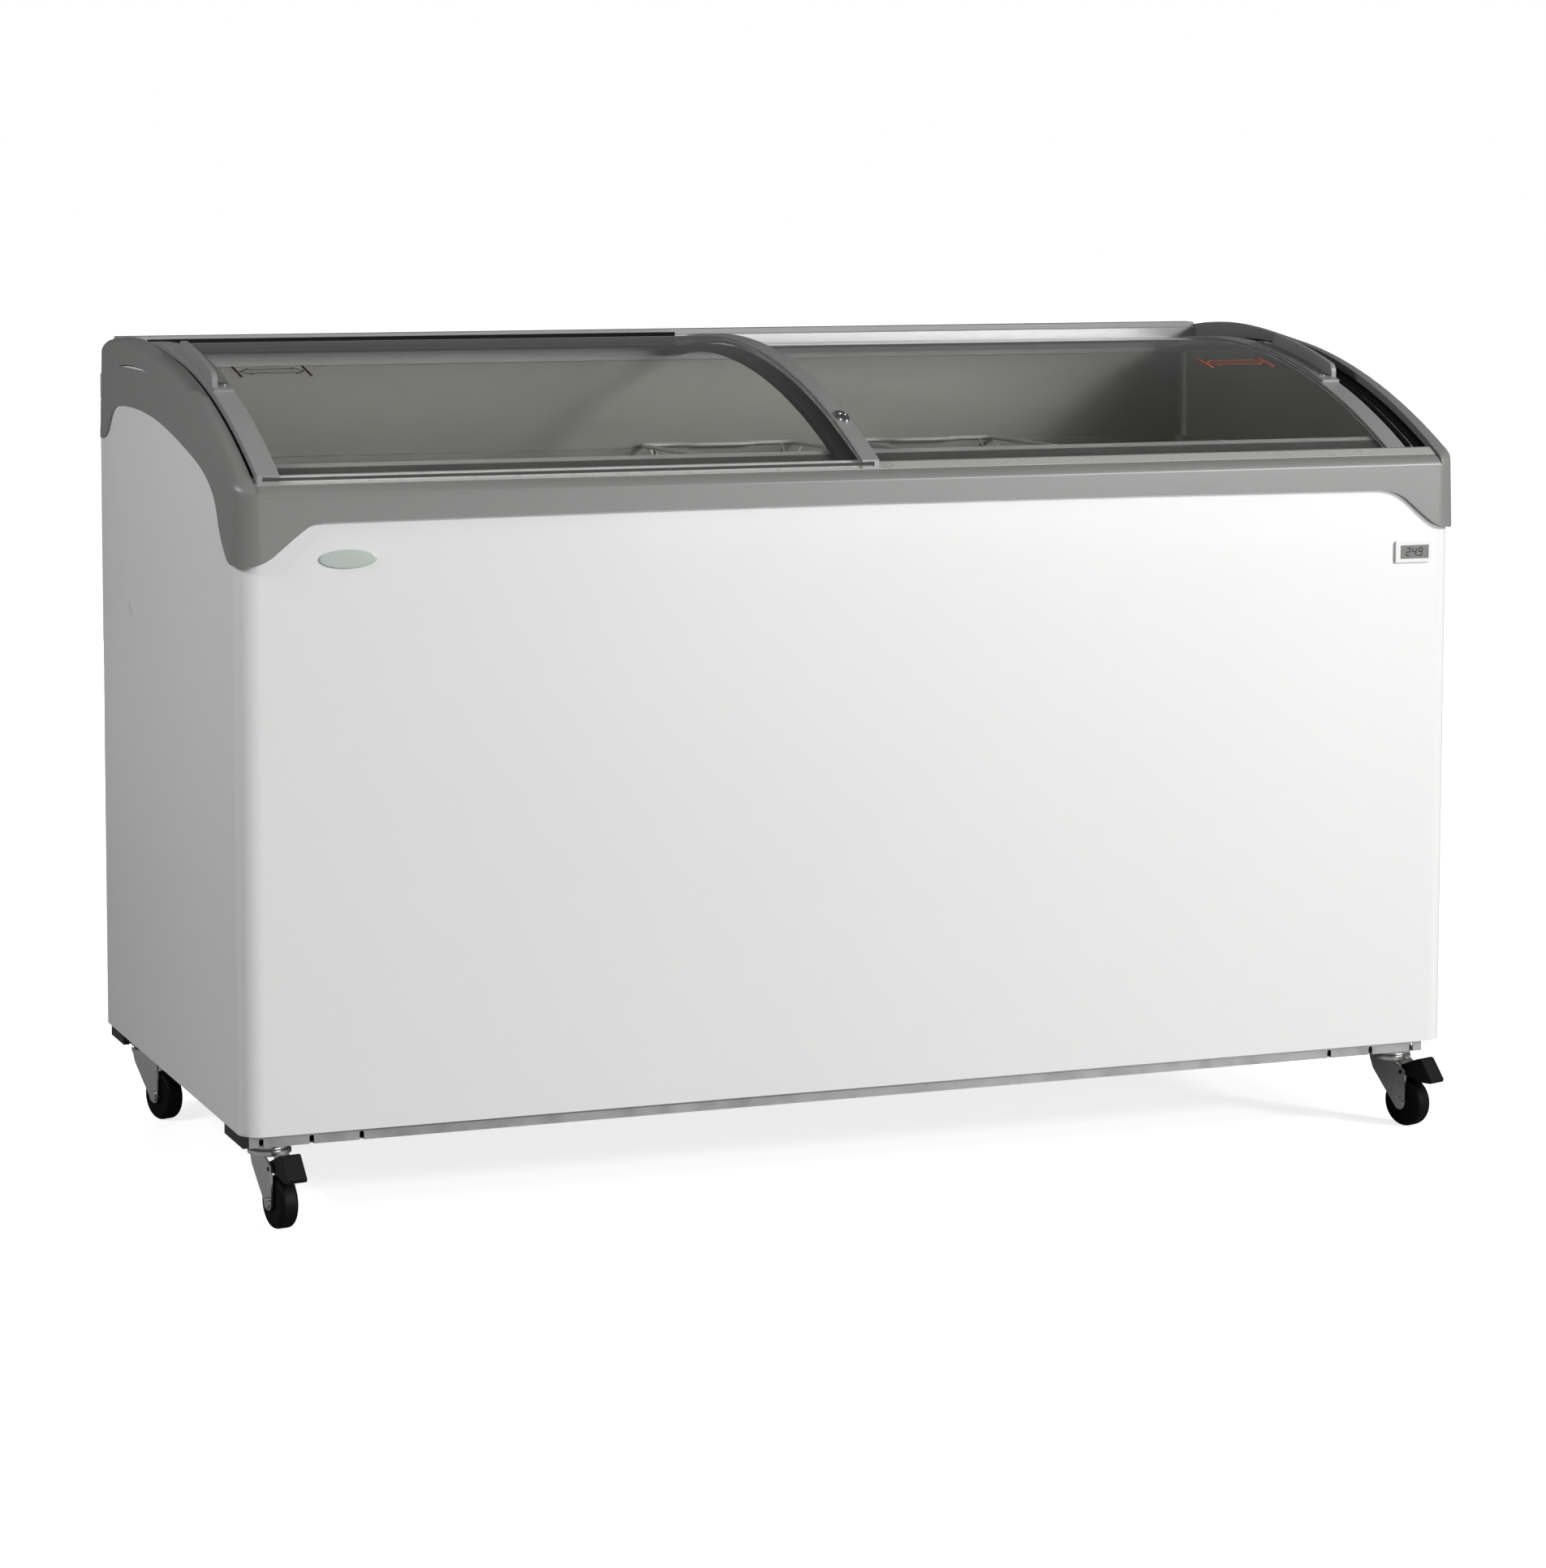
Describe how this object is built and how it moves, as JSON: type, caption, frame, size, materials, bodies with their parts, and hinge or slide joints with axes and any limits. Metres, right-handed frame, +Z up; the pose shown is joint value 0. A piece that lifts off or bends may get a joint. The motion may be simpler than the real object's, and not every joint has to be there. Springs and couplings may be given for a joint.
{
  "type": "chest freezer",
  "caption": "Retail display chest freezer on swivel casters with curved sliding glass lids, hanging wire baskets and a compressor bay.",
  "frame": {"origin": "on the floor under the centre of the whole footprint, brake pedals included", "axes": "+Z up, front faces -Y, +X to the right when facing the front"},
  "size_m": [1.4308, 0.6739, 0.9142],
  "materials": {
    "white_sheet": "gloss",
    "rear_sheet": "satin",
    "galvanised": "satin",
    "foam": "matte",
    "liner_metal": "satin",
    "black_plastic": "satin",
    "frame_grey": "satin",
    "band_grey": "satin",
    "handle_grey": "satin",
    "seal_black": "matte",
    "glide_white": "satin",
    "lid_glass": "gloss",
    "screw_steel": "polished",
    "bezel_white": "gloss",
    "display_grey": "satin",
    "badge_grey": "gloss",
    "drain_white": "satin",
    "compressor_black": "satin",
    "copper": "satin",
    "fin_aluminium": "satin",
    "motor_steel": "satin",
    "basket_wire": "satin",
    "caster_zinc": "satin",
    "wheel_black": "satin",
    "pedal_black": "satin"
  },
  "bodies": {
    "cabinet": {"badge": "badge_grey", "caster_nuts": "caster_zinc", "caster_studs": "caster_zinc", "compressor": "compressor_black", "condenser": "fin_aluminium", "control_box": "black_plastic", "drain_tube": "drain_white", "end_seals": "seal_black", "evaporator_coil": "copper", "fan_motor": "motor_steel", "filter_drier": "copper", "floor_pan": "galvanised", "foam_core": "foam", "front_base_rail": "galvanised", "glide_strips": "glide_white", "inner_tub": "liner_metal", "outer_shell": "white_sheet", "power_inlet": "black_plastic", "rear_base_rail": "galvanised", "rear_grille": "black_plastic", "rear_panel": "rear_sheet", "rear_rail": "frame_grey", "side_plug": "bezel_white", "side_spacers": "black_plastic", "thermometer_bezel": "bezel_white", "thermometer_display": "display_grey", "top_frame": "frame_grey"},
    "left_lid": {"left_lid_glass": "lid_glass", "left_lid_left_profile": "band_grey", "left_lid_right_profile": "band_grey", "left_lid_handle": "handle_grey", "left_lid_handle_screws": "screw_steel", "lock_housing": "screw_steel", "centre_seal": "seal_black"},
    "lock": {"lock_barrel": "screw_steel"},
    "right_lid": {"right_lid_glass": "lid_glass", "right_lid_left_profile": "black_plastic", "right_lid_right_profile": "band_grey", "right_lid_handle": "handle_grey", "right_lid_handle_screws": "screw_steel"},
    "basket_left_body": {"basket_left": "basket_wire"},
    "basket_right_body": {"basket_right": "basket_wire"},
    "drain_stopper": {"drain_plug": "black_plastic"},
    "condenser_fan": {"fan_rotor": "black_plastic"},
    "thermostat": {"thermostat_knob": "black_plastic"},
    "front_left_caster": {"front_left_fork": "caster_zinc", "front_left_axle": "caster_zinc"},
    "front_left_roller": {"front_left_wheel": "wheel_black"},
    "front_right_caster": {"front_right_fork": "caster_zinc", "front_right_axle": "caster_zinc"},
    "front_right_roller": {"front_right_wheel": "wheel_black"},
    "rear_left_caster": {"rear_left_fork": "caster_zinc", "rear_left_axle": "caster_zinc"},
    "rear_left_roller": {"rear_left_wheel": "wheel_black"},
    "rear_right_caster": {"rear_right_fork": "caster_zinc", "rear_right_axle": "caster_zinc"},
    "rear_right_roller": {"rear_right_wheel": "wheel_black"},
    "front_left_brake": {"front_left_brake_pedal": "pedal_black"},
    "front_right_brake": {"front_right_brake_pedal": "pedal_black"}
  },
  "joints": [
    {"name": "left_lid_slide", "type": "slide", "parent": "cabinet", "child": "left_lid", "axis": [1, 0, 0], "range_m": [0, 0.6]},
    {"name": "right_lid_slide", "type": "slide", "parent": "cabinet", "child": "right_lid", "axis": [1, 0, 0], "range_m": [-0.6, 0]},
    {"name": "lock_turn", "type": "hinge", "parent": "left_lid", "child": "lock", "pos_m": [-0.006, -0.22122, 0.831], "axis": [0, -0.3918, 0.9201], "range_deg": [0, 90]},
    {"name": "basket_left_slide", "type": "slide", "parent": "cabinet", "child": "basket_left_body", "axis": [1, 0, 0], "range_m": [-0.5, 0.05]},
    {"name": "basket_right_slide", "type": "slide", "parent": "cabinet", "child": "basket_right_body", "axis": [1, 0, 0], "range_m": [-0.05, 0.24]},
    {"name": "drain_plug_pull", "type": "slide", "parent": "cabinet", "child": "drain_stopper", "axis": [0, 0, 1], "range_m": [0, 0.03]},
    {"name": "fan_spin", "type": "hinge", "parent": "cabinet", "child": "condenser_fan", "pos_m": [0.569, 0.26178, 0.252], "axis": [0, 1, 0], "continuous": true},
    {"name": "thermostat_turn", "type": "hinge", "parent": "cabinet", "child": "thermostat", "pos_m": [0.515, -0.07822, 0.16], "axis": [0, 1, 0], "range_deg": [0, 270]},
    {"name": "front_left_swivel", "type": "hinge", "parent": "cabinet", "child": "front_left_caster", "pos_m": [-0.669, -0.26322, 0.078], "axis": [0, 0, 1], "continuous": true},
    {"name": "front_left_roll", "type": "hinge", "parent": "front_left_caster", "child": "front_left_roller", "pos_m": [-0.66478, -0.28989, 0.028], "axis": [0.9877, 0.1564, 0], "continuous": true},
    {"name": "front_left_brake_press", "type": "hinge", "parent": "front_left_caster", "child": "front_left_brake", "pos_m": [-0.66462, -0.29087, 0.064], "axis": [0.9877, 0.1564, 0], "range_deg": [0, 7]},
    {"name": "front_right_swivel", "type": "hinge", "parent": "cabinet", "child": "front_right_caster", "pos_m": [0.668, -0.26322, 0.078], "axis": [0, 0, 1], "continuous": true},
    {"name": "front_right_roll", "type": "hinge", "parent": "front_right_caster", "child": "front_right_roller", "pos_m": [0.67634, -0.2889, 0.028], "axis": [0.9511, 0.309, 0], "continuous": true},
    {"name": "front_right_brake_press", "type": "hinge", "parent": "front_right_caster", "child": "front_right_brake", "pos_m": [0.67665, -0.28985, 0.064], "axis": [0.9511, 0.309, 0], "range_deg": [0, 7]},
    {"name": "rear_left_swivel", "type": "hinge", "parent": "cabinet", "child": "rear_left_caster", "pos_m": [-0.669, 0.27778, 0.078], "axis": [0, 0, 1], "continuous": true},
    {"name": "rear_left_roll", "type": "hinge", "parent": "rear_left_caster", "child": "rear_left_roller", "pos_m": [-0.66066, 0.2521, 0.028], "axis": [0.9511, 0.309, 0], "continuous": true},
    {"name": "rear_right_swivel", "type": "hinge", "parent": "cabinet", "child": "rear_right_caster", "pos_m": [0.668, 0.27778, 0.078], "axis": [0, 0, 1], "continuous": true},
    {"name": "rear_right_roll", "type": "hinge", "parent": "rear_right_caster", "child": "rear_right_roller", "pos_m": [0.67634, 0.2521, 0.028], "axis": [0.9511, 0.309, 0], "continuous": true}
  ]
}
